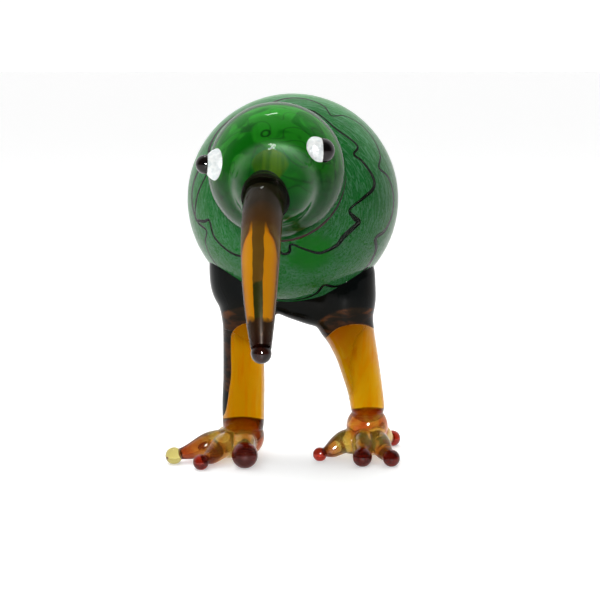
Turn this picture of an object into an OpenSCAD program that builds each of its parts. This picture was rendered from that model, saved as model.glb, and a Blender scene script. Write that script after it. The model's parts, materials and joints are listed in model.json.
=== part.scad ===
// Lampworked glass bird: a cased egg-shaped body, a cased head with bead eyes,
// a long down-curved beak, and two legs on splayed four-toed feet.
// Every gather of glass is its own solid, and the gathers meet face to face
// where they were fused in the flame. Millimetres, +Z up, the beak points to -Y.

/* [Body] */
// Radius of the body at its widest
body_r = 28.2; // [24:0.1:32]
// Length of the body from its widest section back to the rear tip
body_tail = 39; // [30:0.5:46]
// Height of the body's centre above the table
body_z = 69; // [66:0.5:72]
// How far the rear end droops, in degrees
body_droop = 6; // [0:1:10]
// Thickness of the clear layer over the body
body_clear = 2.4; // [1.6:0.1:3]

/* [Head] */
// Radius of the skull
head_r = 17.4; // [16:0.1:19]
// Radius of the clear snout that holds the beak
snout_r = 9.5; // [8:0.5:10.5]
// Distance from the skull's centre to the snout's centre
snout_reach = 14.5; // [12:0.5:16]
// Place of the skull's centre from the body's centre
head_at = [-3.9, -28, 10];
// Nod, tilt and turn of the head, in degrees
head_turn = [8, -8, -3];
// Radius of the green gather inside the head
head_core_r = 10.8; // [8:0.1:12]
// Radius of the dark thread round the neck
neck_thread_r = 0.8; // [0.6:0.1:1.2]

/* [Eyes] */
// Place of each white bead from the skull's centre, left eye then right eye
eye_white_at = [[9.4, -11.4, 6], [-13.7, -6.6, 2.1]];
// Place of each pupil bead from the centre of its white bead
pupil_at = [[1.9, 0.3, 0], [-4, -0.5, 0.2]];
// Radius of the white bead, left eye then right eye
eye_white_r = [3.5, 4.3];
// Radius of the pupil bead, left eye then right eye
pupil_r = [3.1, 2.4];

/* [Beak] */
// Radius of the beak near the head
beak_r = 4.95; // [4.2:0.05:5.5]
// Radius of the beak just before its tip
beak_end_r = 2.2; // [1.8:0.1:2.4]
// Radius of the bead at the tip
tip_r = 2.4; // [2.2:0.1:2.8]
// Share of the beak's radius that is coloured core
beak_core_share = 0.62; // [0.5:0.02:0.75]
// Thickness of the clear collar round the beak's root, at its middle
collar_r = 1.1; // [0.8:0.1:1.4]

/* [Legs] */
// Centre of each ankle, left leg then right leg
ankle_at = [[20.1, -3, 7.6], [-13.6, -5, 5.2]];
// Radius of each ankle
ankle_r = [5.7, 5.9];
// Centre of each knee, where the amber ends in a dome
knee_at = [[17.3, -4, 29.6], [-13.5, -4.6, 31]];
// Radius of each shank at the ankle
shank_r = [4.95, 5.65];
// Radius of each shank at the knee
knee_r = [5.9, 6];
// Centre of each thigh's round top, sunk in the body
thigh_at = [[13.3, -5, 45.5], [-13.3, -5, 46.5]];
// Radius of each thigh's round top
thigh_r = [9.2, 9.4];
// Thickness of the black glass round the knee
thigh_wall = 0.7; // [0.5:0.1:1.2]
// Radius of the bridge between the thighs
bridge_r = 7; // [6:0.25:7.5]

/* [Feet] */
// Direction of each toe from the ankle, in degrees from straight ahead
// towards the left: outer, middle, inner and hind toe of each foot
toe_angle = [[23, -7, -58, 142], [-63, -34, 4, -130]];
// Reach of each toe from the ankle to the centre of its bead
toe_reach = [[15.2, 14.2, 15.2, 12], [20.2, 18.8, 13.6, 11.5]];
// Radius of the bead on each toe
bead_r = [[2.3, 2.6, 1.9, 2.2], [2.3, 2.1, 3.5, 2.2]];
// Radius of each toe where it leaves the ankle
toe_root_r = 3; // [2.6:0.1:3.4]
// Height of the toes' roots above the table, left foot then right foot
toe_root_z = [5.6, 4.6];
// Depth that a bead's underside was pressed flat by
press_flat = 0.25; // [0.15:0.05:0.4]

/* [Feather threads] */
// Number of scallops in each ring of thread
scallops = 9; // [7:1:12]
// Thickest radius of the thread
thread_r = 0.55; // [0.4:0.05:0.7]
// Polar angle of each ring, measured from the beak end of the body
ring_polar = [50, 82, 112];
// Depth of the scallops of each ring, in degrees
ring_scallop = [13, 14, 14];

/* [Hidden] */
$fn = 96;
LEFT = 0;
RIGHT = 1;
OUTER = 0;
MIDDLE = 1;
INNER = 2;
HIND = 3;

body_c = [0, 0, body_z];
head_c = body_c + head_at;

// The beak's centreline is one cubic curve through the air, from inside the
// snout to the centre of the tip bead.
beak_curve = [[-6, -41, 76.4], [-7.4, -54, 74], [-7.8, -66, 61], [-7, -76, 41.3]];
beak_rings = 28;
beak_sides = 20;
collar_first = 4;
collar_steps = 2;
collar_edge = 0.15;

// The drip of black glass down the outside of the right leg.
drip_curve = [[-19.6, -6.4, 40], [-18.6, -6.6, 29], [-18, -6.6, 18], [-17.6, -6.4, 8.5]];
drip_rings = 16;
drip_sides = 12;
drip_top_r = 1.9;
drip_end_r = 1;

thread_rings = 90;
thread_sides = 6;
thread_sink = 0.1;
table_cut = 80;

// A toe narrows to this share of its bead's radius, and an outer or inner toe
// has room out to this many degrees on its free side.
toe_end_share = 0.72;
toe_free_side = 88;
toe_room = 60;

function unit(v) = v / norm(v);
function bezier(p, t) =
    pow(1 - t, 3) * p[0] + 3 * pow(1 - t, 2) * t * p[1] + 3 * (1 - t) * t * t * p[2] + pow(t, 3) * p[3];
function bezier_slope(p, t) =
    3 * pow(1 - t, 2) * (p[1] - p[0]) + 6 * (1 - t) * t * (p[2] - p[1]) + 3 * t * t * (p[3] - p[2]);

// Radius of the beak at t along its curve: nearly even, then a quick taper.
function beak_radius(t) = beak_end_r + (beak_r - beak_end_r) * (1 - pow(t, 4));

// Distance from the body's centre to the coloured core's skin, at a polar
// angle from the beak end: a sphere in front, half a spheroid behind.
function core_reach(polar) =
    let (a = body_r - body_clear, b = body_tail - body_clear)
    polar <= 90 ? a : 1 / sqrt(pow(sin(polar) / a, 2) + pow(cos(polar) / b, 2));

// One point of a scalloped ring: cusps point to the beak, and bellies to the rear.
function ring_angle(i, around) =
    ring_polar[i] + ring_scallop[i] * (pow(abs(sin(scallops * (around + 20 * i) / 2)), 0.7) - 0.5);
function ring_point(i, around) =
    let (
        polar = ring_angle(i, around),
        reach = core_reach(polar) - thread_sink - thread_width(i, around)
    )
    reach * [sin(polar) * sin(around), -cos(polar), -sin(polar) * cos(around)];
function thread_width(i, around) = thread_r * (0.72 + 0.28 * sin(around * 2 + 130 * i));

// A ring of points round c, square to the direction t.
function hoop(c, t, r, sides, up) =
    let (side = unit(cross(t, up)), over = cross(side, unit(t)))
    [for (k = [0 : sides - 1]) c + r * (cos(360 * k / sides) * side + sin(360 * k / sides) * over)];
function flatten(l) = [for (a = l) for (b = a) b];

// Triangles between n hoops whose points start at first; flip turns them over.
function skin(n, sides, first, flip) =
    [for (i = [0 : n - 2], k = [0 : sides - 1])
        let (a = first + i * sides, b = a + sides, m = (k + 1) % sides)
        each flip ?
            [[a + k, b + m, b + k], [a + k, a + m, b + m]] :
            [[a + k, b + k, b + m], [a + k, b + m, a + m]]];

// A rod through hoops of points, with flat ends.
module tube(hoops, sides) {
    n = len(hoops);
    polyhedron(
        points = flatten(hoops),
        faces = concat(
            skin(n, sides, 0, false),
            [[for (k = [0 : sides - 1]) k]],
            [[for (k = [sides - 1 : -1 : 0]) (n - 1) * sides + k]]
        ),
        convexity = 6
    );
}

// A rod that closes on itself.
module ring(hoops, sides) {
    n = len(hoops);
    polyhedron(
        points = flatten(hoops),
        faces = concat(
            skin(n, sides, 0, false),
            [for (k = [0 : sides - 1])
                let (a = (n - 1) * sides, m = (k + 1) % sides)
                each [[a + k, k, m], [a + k, m, a + m]]]
        ),
        convexity = 10
    );
}

// A pipe through outer and inner hoops of points, with a flat ring at each end.
module pipe(outer, inner, sides) {
    n = len(outer);
    m = len(inner);
    o = n * sides;
    end = (m - 1) * sides;
    polyhedron(
        points = concat(flatten(outer), flatten(inner)),
        faces = concat(
            skin(n, sides, 0, false),
            skin(m, sides, o, true),
            [for (k = [0 : sides - 1]) let (q = (k + 1) % sides) each [
                [k, q, o + q], [k, o + q, o + k],
                [o - sides + q, o - sides + k, o + end + k],
                [o - sides + q, o + end + k, o + end + q]
            ]]
        ),
        convexity = 8
    );
}

// The body's outline, turned about +Z: half a ball, then half a spheroid.
module body_solid(r, tail) {
    rotate_extrude() {
        intersection() {
            circle(r = r);
            translate([0, -2 * r]) square(2 * r);
        }
        intersection() {
            scale([1, tail / r]) circle(r = r);
            square([2 * r, 2 * tail]);
        }
    }
}

// Puts children between two points, with their +Z along the line.
module along(from, to) {
    d = to - from;
    translate(from)
        rotate([0, acos(d[2] / norm(d)), atan2(d[1], d[0])])
            children();
}

// A cone that ends in a dome.
module domed_cone(bottom, top, h) {
    rotate_extrude() {
        polygon([[0, 0], [bottom, 0], [top, h], [0, h]]);
        translate([0, h]) intersection() {
            circle(r = top);
            square(top + 1);
        }
    }
}

// Everything that reaches below the table is pressed flat against it.
module pressed_flat() {
    difference() {
        children();
        translate([-table_cut / 2, -table_cut / 2, -table_cut]) cube(table_cut);
    }
}

module in_body() {
    translate(body_c) rotate([-body_droop, 0, 0]) children();
}

module in_head() {
    translate(head_c) rotate(head_turn) children();
}

module body_gather(inset = 0) {
    in_body() rotate([-90, 0, 0]) body_solid(body_r - inset, body_tail - inset);
}

// The body's front is a plain ball, which is all that the head and eyes meet.
module body_ball() {
    translate(body_c) sphere(r = body_r);
}

module head_ball() {
    translate(head_c) sphere(r = head_r);
}

module snout_ball() {
    in_head() translate([0, -snout_reach, 0]) sphere(r = snout_r);
}

module body_core() {
    color([0.05, 0.36, 0.12]) body_gather(body_clear);
}

module body_casing() {
    color([0.8, 0.9, 0.84, 0.3]) difference() {
        body_gather();
        body_gather(body_clear);
    }
}

// A scalloped thread, pressed flush into the skin of the core.
module feather_thread(i) {
    step = 360 / thread_rings;
    hoops = [for (k = [0 : thread_rings - 1])
        let (
            a = k * step,
            p = ring_point(i, a),
            t = ring_point(i, a + step / 2) - ring_point(i, a - step / 2)
        )
        hoop(p, t, thread_width(i, a), thread_sides, unit(p))];
    color([0.06, 0.07, 0.06]) in_body() ring(hoops, thread_sides);
}

// The dark thread fills the crease where head and body meet.
module neck_thread() {
    d = norm(head_at);
    from_body = (d * d + body_r * body_r - head_r * head_r) / (2 * d);
    neck_r = sqrt(body_r * body_r - from_body * from_body);
    color([0.13, 0.08, 0.04]) along(body_c, head_c) rotate_extrude($fn = 240) difference() {
        translate([neck_r, from_body]) circle(r = neck_thread_r, $fn = 60);
        circle(r = body_r, $fn = 720);
        translate([0, d]) circle(r = head_r, $fn = 720);
    }
}

// Turns a flat outline about the line from the body's centre to the skull's.
// The body's circle is at the origin there, and the skull's is at norm(head_at).
module about_neck() {
    along(body_c, head_c) rotate_extrude() intersection() {
        children();
        translate([0, -body_r]) square([2 * body_r, 4 * body_r]);
    }
}

// The green gather in the middle of the head, cut where it meets the body.
module head_core() {
    color([0.1, 0.55, 0.12]) about_neck() difference() {
        translate([0, norm(head_at)]) circle(r = head_core_r);
        circle(r = body_r);
    }
}

module head_casing() {
    color([0.8, 0.9, 0.84, 0.3]) about_neck() difference() {
        translate([0, norm(head_at)]) circle(r = head_r);
        translate([0, norm(head_at)]) circle(r = head_core_r);
        circle(r = body_r);
    }
}

module snout() {
    color([0.78, 0.86, 0.8, 0.35]) difference() {
        snout_ball();
        head_ball();
        body_ball();
    }
}

// A white bead is turned about the line from the skull's centre to its own.
module eye_white(side) {
    at = eye_white_at[side];
    color([0.93, 0.95, 0.93]) along(head_c, head_c + at) rotate_extrude() intersection() {
        difference() {
            translate([0, norm(at)]) circle(r = eye_white_r[side]);
            circle(r = head_r);
        }
        square(2 * head_r);
    }
}

// A pupil bead sits on the side of its white bead, and on the left the head
// cuts it too.
module pupil(side) {
    white_c = head_c + eye_white_at[side];
    color([0.03, 0.02, 0.02]) difference() {
        along(white_c, white_c + pupil_at[side])
            translate([0, 0, norm(pupil_at[side])]) sphere(r = pupil_r[side]);
        translate(white_c) sphere(r = eye_white_r[side]);
        if (side == LEFT) head_ball();
    }
}

// A ring round the beak at step k, at a share of its radius plus some more.
function beak_hoop(k, share, more = 0) =
    let (t = k / beak_rings)
    hoop(bezier(beak_curve, t), bezier_slope(beak_curve, t), share * beak_radius(t) + more,
        beak_sides, [1, 0, 0]);

module beak_core() {
    color([0.72, 0.42, 0.05]) difference() {
        tube([for (k = [0 : beak_rings]) beak_hoop(k, beak_core_share)], beak_sides);
        snout_ball();
        tip_ball();
    }
}

module beak_casing() {
    color([0.75, 0.72, 0.66, 0.3]) difference() {
        pipe([for (k = [0 : beak_rings]) beak_hoop(k, 1)],
            [for (k = [0 : beak_rings]) beak_hoop(k, beak_core_share)], beak_sides);
        snout_ball();
        tip_ball();
    }
}

// The collar's inside has the beak's own rings, so the two touch all round.
module beak_collar() {
    rings = 2 * collar_steps;
    color([0.7, 0.72, 0.68, 0.4]) pipe(
        [for (k = [0 : rings])
            let (h = sin(180 * k / rings))
            beak_hoop(collar_first + k / 2, 1, collar_edge + (collar_r - collar_edge) * h)],
        [for (k = [0 : collar_steps]) beak_hoop(collar_first + k, 1)],
        beak_sides
    );
}

module tip_ball() {
    translate(beak_curve[3]) sphere(r = tip_r);
}

module beak_tip() {
    color([0.1, 0.06, 0.05]) tip_ball();
}

module shank_solid(side) {
    d = norm(knee_at[side] - ankle_at[side]);
    along(ankle_at[side], knee_at[side]) domed_cone(shank_r[side], knee_r[side], d);
}

module thigh_solid(side) {
    d = norm(thigh_at[side] - knee_at[side]);
    along(knee_at[side], thigh_at[side])
        domed_cone(knee_r[side] + thigh_wall, thigh_r[side], d);
}

module ankle_ball(side) {
    translate(ankle_at[side]) sphere(r = ankle_r[side]);
}

module thigh(side) {
    color([0.06, 0.07, 0.07]) difference() {
        thigh_solid(side);
        shank_solid(side);
        body_gather();
    }
}

module hip_bridge() {
    $fn = 180;
    color([0.06, 0.07, 0.07]) difference() {
        along(thigh_at[RIGHT], thigh_at[LEFT])
            cylinder(r = bridge_r, h = norm(thigh_at[LEFT] - thigh_at[RIGHT]));
        body_gather();
        for (side = [LEFT, RIGHT]) {
            thigh_solid(side);
            shank_solid(side);
        }
    }
}

module shank(side) {
    color([0.78, 0.5, 0.03]) difference() {
        shank_solid(side);
        ankle_ball(side);
    }
}

module right_thigh_drip() {
    $fn = 240;
    hoops = [for (k = [0 : drip_rings])
        let (t = k / drip_rings)
        hoop(bezier(drip_curve, t), bezier_slope(drip_curve, t),
            drip_top_r + (drip_end_r - drip_top_r) * t, drip_sides, [1, 0, 0])];
    color([0.1, 0.06, 0.05]) difference() {
        tube(hoops, drip_sides);
        shank_solid(RIGHT);
        thigh_solid(RIGHT);
        ankle_ball(RIGHT);
    }
}

module ankle(side) {
    color([0.55, 0.17, 0.04]) pressed_flat() ankle_ball(side);
}

function bead_at(side, toe) =
    let (a = toe_angle[side][toe], d = toe_reach[side][toe])
    [
        ankle_at[side][0] + d * sin(a),
        ankle_at[side][1] - d * cos(a),
        bead_r[side][toe] - press_flat
    ];

module bead_ball(side, toe) {
    translate(bead_at(side, toe)) sphere(r = bead_r[side][toe]);
}

module toe_cone(side, toe) {
    from = [ankle_at[side][0], ankle_at[side][1], toe_root_z[side]];
    to = bead_at(side, toe);
    along(from, to) cylinder(r1 = toe_root_r, r2 = bead_r[side][toe] * toe_end_share, h = norm(to - from));
}

// A toe's share of the foot ends halfway to the toe on each side of it.
function toe_edges(side, toe) =
    let (
        a = toe_angle[side][toe],
        turn = toe_angle[side][OUTER] > toe_angle[side][MIDDLE] ? 1 : -1
    )
    [
        toe == OUTER ? a + toe_free_side * turn : (a + toe_angle[side][toe - 1]) / 2,
        toe == INNER ? a - toe_free_side * turn : (a + toe_angle[side][toe + 1]) / 2
    ];

module toe_share(side, toe) {
    edges = toe_edges(side, toe);
    mid = (edges[0] + edges[1]) / 2;
    translate([ankle_at[side][0], ankle_at[side][1], -10]) linear_extrude(40)
        polygon([[0, 0], for (a = [edges[0], mid, edges[1]]) toe_room * [sin(a), -cos(a)]]);
}

// A toe stops at the ankle, at its own bead and at the toes beside it.
module toe(side, toe) {
    color([0.66, 0.32, 0.04]) pressed_flat() difference() {
        if (toe == HIND)
            toe_cone(side, toe);
        else
            intersection() {
                toe_cone(side, toe);
                toe_share(side, toe);
            }
        ankle_ball(side);
        bead_ball(side, toe);
    }
}

module bead(side, toe) {
    color(side == RIGHT && toe == OUTER ? [0.75, 0.72, 0.2] : [0.36, 0.08, 0.03])
        pressed_flat() bead_ball(side, toe);
}

// The origin is under the middle of the box that holds the whole bird.
box_left = bead_at(RIGHT, OUTER)[0] - bead_r[RIGHT][OUTER];
box_right = bead_at(LEFT, HIND)[0] + bead_r[LEFT][HIND];
box_front = beak_curve[3][1] - tip_r;
box_rear = norm([body_tail * cos(body_droop), body_r * sin(body_droop)]);
module place() {
    translate([-(box_left + max(box_right, body_r)) / 2, -(box_front + box_rear) / 2, 0]) children();
}

place() body_core();
place() body_casing();
place() feather_thread(0);  // feather_thread_front
place() feather_thread(1);  // feather_thread_middle
place() feather_thread(2);  // feather_thread_rear
place() neck_thread();
place() head_core();
place() head_casing();
place() snout();
place() eye_white(LEFT);  // left_eye_white
place() eye_white(RIGHT);  // right_eye_white
place() pupil(LEFT);  // left_pupil
place() pupil(RIGHT);  // right_pupil
place() beak_core();
place() beak_casing();
place() beak_collar();
place() beak_tip();
place() thigh(LEFT);  // left_thigh
place() thigh(RIGHT);  // right_thigh
place() hip_bridge();
place() shank(LEFT);  // left_shank
place() shank(RIGHT);  // right_shank
place() right_thigh_drip();
place() ankle(LEFT);  // left_ankle
place() ankle(RIGHT);  // right_ankle
place() toe(LEFT, OUTER);  // left_outer_toe
place() toe(LEFT, MIDDLE);  // left_middle_toe
place() toe(LEFT, INNER);  // left_inner_toe
place() toe(LEFT, HIND);  // left_hind_toe
place() toe(RIGHT, OUTER);  // right_outer_toe
place() toe(RIGHT, MIDDLE);  // right_middle_toe
place() toe(RIGHT, INNER);  // right_inner_toe
place() toe(RIGHT, HIND);  // right_hind_toe
place() bead(LEFT, OUTER);  // left_outer_bead
place() bead(LEFT, MIDDLE);  // left_middle_bead
place() bead(LEFT, INNER);  // left_inner_bead
place() bead(LEFT, HIND);  // left_hind_bead
place() bead(RIGHT, OUTER);  // right_outer_bead
place() bead(RIGHT, MIDDLE);  // right_middle_bead
place() bead(RIGHT, INNER);  // right_inner_bead
place() bead(RIGHT, HIND);  // right_hind_bead
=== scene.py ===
"""The looks of a lampworked glass bird, dressed over its CAD frame.

The bird is solid glass: streaked green cores in a clear skin for the body and
the head, black glass round the hips, amber shanks, and red-brown feet whose
toes end in beads. Shapes are built in bird space: millimetres, the body's axis
at x = 0, its widest section at y = 0, the beak towards -Y and the table at
z = 0. Each finished mesh is then moved to the row frame, in metres.
"""

from __future__ import annotations

import json
import logging
import math
from collections.abc import Mapping, Sequence
from dataclasses import dataclass
from enum import Enum
from typing import Any

import bmesh
import bpy
from mathutils import Matrix, Vector

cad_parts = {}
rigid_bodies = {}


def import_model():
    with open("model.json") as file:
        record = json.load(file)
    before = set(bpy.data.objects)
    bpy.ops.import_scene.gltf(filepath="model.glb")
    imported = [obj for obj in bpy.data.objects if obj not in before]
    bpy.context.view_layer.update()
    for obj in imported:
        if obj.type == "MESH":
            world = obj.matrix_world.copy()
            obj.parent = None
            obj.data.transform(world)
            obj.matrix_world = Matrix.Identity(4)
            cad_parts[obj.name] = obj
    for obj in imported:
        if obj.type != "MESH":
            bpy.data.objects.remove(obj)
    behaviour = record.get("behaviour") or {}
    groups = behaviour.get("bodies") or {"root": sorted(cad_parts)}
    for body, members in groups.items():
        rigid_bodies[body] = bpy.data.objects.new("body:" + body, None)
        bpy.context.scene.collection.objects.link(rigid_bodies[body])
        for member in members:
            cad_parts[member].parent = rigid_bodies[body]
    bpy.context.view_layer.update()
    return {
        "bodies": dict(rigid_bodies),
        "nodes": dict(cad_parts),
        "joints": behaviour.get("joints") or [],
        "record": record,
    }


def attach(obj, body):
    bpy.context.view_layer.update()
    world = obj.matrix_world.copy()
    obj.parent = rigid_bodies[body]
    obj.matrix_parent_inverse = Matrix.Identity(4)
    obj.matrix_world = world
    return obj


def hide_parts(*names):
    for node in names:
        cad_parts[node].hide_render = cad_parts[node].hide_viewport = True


LOG = logging.getLogger("glass_bird")

MM = 0.001
ROW_SHIFT = Vector((2.105, 19.751, 0.0))
ROOT_BODY = "root"
X_AXIS = Vector((1.0, 0.0, 0.0))
Z_AXIS = Vector((0.0, 0.0, 1.0))
GLASS_IOR = 1.5
POLE_MERGE = 1e-4
FULL_TURN = 2.0 * math.pi


def linear(hex_colour: str, alpha: float = 1.0) -> tuple[float, float, float, float]:
    """Turns an sRGB hex colour into linear light.

    Args:
        hex_colour: Six hex digits, such as "2e6b3a".
        alpha: The fourth value of the result.

    Returns:
        Red, green, blue and alpha, in linear light.
    """

    def channel(byte: int) -> float:
        """Turns one sRGB byte to linear light."""
        share = byte / 255.0
        return share / 12.92 if share <= 0.04045 else ((share + 0.055) / 1.055) ** 2.4

    red, green, blue = (channel(int(hex_colour[i : i + 2], 16)) for i in (0, 2, 4))
    return red, green, blue, alpha


# ---------------------------------------------------------------- materials


class Graph:
    """A material under construction, with its nodes and links.

    Args:
        name: The material's name.
    """

    def __init__(self, name: str) -> None:
        """Starts an empty node tree that reads object coordinates.

        Args:
            name: The material's name.
        """
        self.material = bpy.data.materials.new(name)
        self.material.use_nodes = True
        self.tree = self.material.node_tree
        self.tree.nodes.clear()
        coords = self.add("ShaderNodeTexCoord").outputs["Object"]
        self.coords_mm = self.add(
            "ShaderNodeVectorMath", {0: coords, "Scale": 1.0 / MM}, operation="SCALE"
        ).outputs[0]

    def add(
        self, kind: str, inputs: Mapping[str | int, Any] | None = None, **settings: Any
    ) -> bpy.types.Node:
        """Adds one node, with its settings, values and incoming links.

        Args:
            kind: The node's type name.
            inputs: Socket name or number to a value, or to the socket that feeds it.
            **settings: The node's own properties.

        Returns:
            The new node.
        """
        node = self.tree.nodes.new(kind)
        for key, value in settings.items():
            setattr(node, key, value)
        for key, value in (inputs or {}).items():
            if isinstance(value, bpy.types.NodeSocket):
                self.tree.links.new(value, node.inputs[key])
            else:
                node.inputs[key].default_value = value
        return node

    def math(self, operation: str, *values: Any) -> bpy.types.NodeSocket:
        """Adds a math node.

        Args:
            operation: The node's operation, such as "MULTIPLY".
            *values: Numbers or sockets, in order.

        Returns:
            The result's socket.
        """
        inputs = dict(enumerate(values))
        return self.add("ShaderNodeMath", inputs, operation=operation).outputs[0]

    def noise(
        self, scale: float, detail: float = 2.0, vector: Any = None, distortion: float = 0.0
    ) -> bpy.types.NodeSocket:
        """Adds a noise texture over the piece.

        Args:
            scale: Features per millimetre.
            detail: Octaves of finer noise.
            vector: Coordinates to use in place of the piece's own millimetres.
            distortion: How far the noise is pushed about by itself.

        Returns:
            The noise's value, about 0.5 on average.
        """
        inputs = {
            "Vector": vector or self.coords_mm,
            "Scale": scale,
            "Detail": detail,
            "Distortion": distortion,
        }
        return self.add("ShaderNodeTexNoise", inputs).outputs[0]

    def ramp(
        self, factor: bpy.types.NodeSocket, stops: Sequence[tuple[float, str]]
    ) -> bpy.types.NodeSocket:
        """Adds a colour ramp.

        Args:
            factor: The socket that runs along the ramp.
            stops: Positions and hex colours, in order.

        Returns:
            The ramp's colour.
        """
        node = self.add("ShaderNodeValToRGB", {0: factor})
        elements = node.color_ramp.elements
        while len(elements) < len(stops):
            elements.new(1.0)
        for element, (position, colour) in zip(elements, stops):
            element.position = position
            element.color = linear(colour)
        return node.outputs[0]

    def squeezed(self, scale: Sequence[float]) -> bpy.types.NodeSocket:
        """Gives the piece's millimetres, scaled along each axis, so that a noise makes streaks.

        Args:
            scale: Factor along X, Y and Z.

        Returns:
            The scaled coordinates.
        """
        inputs = {0: self.coords_mm, 1: Vector(scale)}
        return self.add("ShaderNodeVectorMath", inputs, operation="MULTIPLY").outputs[0]

    def spread(
        self, value: Any, low: float, high: float, to_low: float = 0.0, to_high: float = 1.0
    ) -> bpy.types.NodeSocket:
        """Maps a range of values smoothly onto another, and clamps it.

        Args:
            value: The socket to map.
            low: The value that gives to_low.
            high: The value that gives to_high.
            to_low: The result at low.
            to_high: The result at high.

        Returns:
            The mapped value.
        """
        inputs = {0: value, 1: low, 2: high, 3: to_low, 4: to_high}
        node = self.add("ShaderNodeMapRange", inputs, interpolation_type="SMOOTHSTEP")
        return node.outputs[0]

    def ridge(self, value: bpy.types.NodeSocket, sharpness: float) -> bpy.types.NodeSocket:
        """Draws thin lines where a noise crosses its middle value.

        Args:
            value: The noise.
            sharpness: How thin the lines are.

        Returns:
            1 on the lines, 0 away from them.
        """
        off = self.math("ABSOLUTE", self.math("SUBTRACT", value, 0.5))
        line = self.math("SUBTRACT", 1.0, self.math("MULTIPLY", off, sharpness))
        return self.math("MAXIMUM", line, 0.0)

    def near(
        self, point: Sequence[float], inner: float, outer: float, warp: float = 0.0
    ) -> bpy.types.NodeSocket:
        """Marks what lies near a point, with a soft and wavy edge.

        Args:
            point: The point, in bird space.
            inner: Distance within which the mark is full.
            outer: Distance past which there is none.
            warp: How far the edge wanders, in millimetres.

        Returns:
            1 near the point, 0 away from it.
        """
        away = self.add(
            "ShaderNodeVectorMath",
            {0: self.coords_mm, 1: Vector(point) + ROW_SHIFT},
            operation="DISTANCE",
        ).outputs["Value"]
        if warp > 0.0:
            wander = self.math("SUBTRACT", self.noise(0.2, 2.0, distortion=0.5), 0.5)
            away = self.math("ADD", away, self.math("MULTIPLY", wander, 2.0 * warp))
        return self.spread(away, outer, inner)

    def mix(self, factor: Any, first: Any, second: Any) -> bpy.types.NodeSocket:
        """Mixes two colours.

        Args:
            factor: Share of the second colour.
            first: A colour socket or a hex colour.
            second: A colour socket or a hex colour.

        Returns:
            The mixed colour.
        """
        first, second = (linear(c) if isinstance(c, str) else c for c in (first, second))
        node = self.add("ShaderNodeMix", {0: factor, 6: first, 7: second}, data_type="RGBA")
        return node.outputs[2]

    def bump(self, height: bpy.types.NodeSocket, depth_mm: float) -> bpy.types.NodeSocket:
        """Adds a bump.

        Args:
            height: The socket with the height, from 0 to 1.
            depth_mm: The depth that a height of 1 stands for.

        Returns:
            The bumped normal.
        """
        inputs = {"Height": height, "Distance": depth_mm * MM, "Strength": 1.0}
        return self.add("ShaderNodeBump", inputs).outputs[0]

    def finish(
        self, surface: bpy.types.NodeSocket, volume: bpy.types.NodeSocket | None = None
    ) -> bpy.types.Material:
        """Adds the output.

        Args:
            surface: The surface shader.
            volume: The volume shader, if there is one.

        Returns:
            The finished material.
        """
        inputs = {"Surface": surface}
        if volume is not None:
            inputs["Volume"] = volume
        self.add("ShaderNodeOutputMaterial", inputs)
        return self.material


@dataclass(frozen=True)
class ClearGlass:
    """Polished see-through glass, with light waves in its surface.

    Attributes:
        name: The material's name.
        tint: Hex colour of the glass at its surface.
        second_tint: Hex colour that the tint drifts to.
        depth_colour: Hex colour that light keeps as it goes through the glass.
        density: How strongly it is kept, per metre.
        drift: Features of the tint's drift per millimetre.
        wave: Features of the surface's waves per millimetre.
        wave_depth_mm: Depth of those waves.
        roughness: How matt the surface is.
        mirror: Share of plain glass's reflection that it shows face on.
        clarity: Share of light that goes straight through, not milky.
        rim: Share of plain glass's brightness along its edges.
    """

    name: str
    tint: str
    second_tint: str
    depth_colour: str
    density: float
    drift: float = 0.12
    wave: float = 0.12
    wave_depth_mm: float = 0.05
    roughness: float = 0.01
    mirror: float = 0.15
    clarity: float = 1.0
    rim: float = 1.0

    def tint_socket(self, graph: Graph) -> bpy.types.NodeSocket:
        """Gives the tint over the piece.

        Args:
            graph: The material under construction.

        Returns:
            The tint's colour socket.
        """
        share = graph.spread(graph.noise(self.drift, 2.0), 0.35, 0.65)
        return graph.mix(share, self.tint, self.second_tint)

    def material(self) -> bpy.types.Material:
        """Builds the material.

        Returns:
            The finished material.
        """
        graph = Graph(self.name)
        tint = self.tint_socket(graph)
        normal = graph.bump(graph.noise(self.wave, 1.0), self.wave_depth_mm)
        glass = graph.add(
            "ShaderNodeBsdfPrincipled",
            {
                "Base Color": tint,
                "Roughness": self.roughness,
                "IOR": GLASS_IOR,
                "Transmission Weight": self.clarity,
                "Specular Tint": (self.mirror, self.mirror, self.mirror, 1.0),
                "Normal": normal,
            },
        ).outputs[0]
        unmirrored = graph.add(
            "ShaderNodeBsdfRefraction",
            {"Color": tint, "Roughness": self.roughness, "IOR": GLASS_IOR, "Normal": normal},
        ).outputs[0]
        glass = graph.add(
            "ShaderNodeMixShader", {0: 1.0 - self.rim, 1: glass, 2: unmirrored}
        ).outputs[0]
        open_way = graph.add("ShaderNodeBsdfTransparent", {"Color": tint}).outputs[0]
        is_shadow = graph.add("ShaderNodeLightPath").outputs["Is Shadow Ray"]
        surface = graph.add(
            "ShaderNodeMixShader", {0: is_shadow, 1: glass, 2: open_way}
        ).outputs[0]
        if self.density <= 0.0:
            return graph.finish(surface)
        volume = graph.add(
            "ShaderNodeVolumeAbsorption",
            {"Color": linear(self.depth_colour), "Density": self.density},
        ).outputs[0]
        return graph.finish(surface, volume)


@dataclass(frozen=True)
class AmberGlass(ClearGlass):
    """Leg glass: amber, with the streaks of a drawn rod along its length."""

    def tint_socket(self, graph: Graph) -> bpy.types.NodeSocket:
        """Gives the tint over the piece, streaked up and down.

        Args:
            graph: The material under construction.

        Returns:
            The tint's colour socket.
        """
        streaks = graph.noise(0.7, 2.0, vector=graph.squeezed((1.0, 1.0, 0.1)))
        return graph.mix(graph.spread(streaks, 0.45, 0.65), self.tint, self.second_tint)


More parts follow.
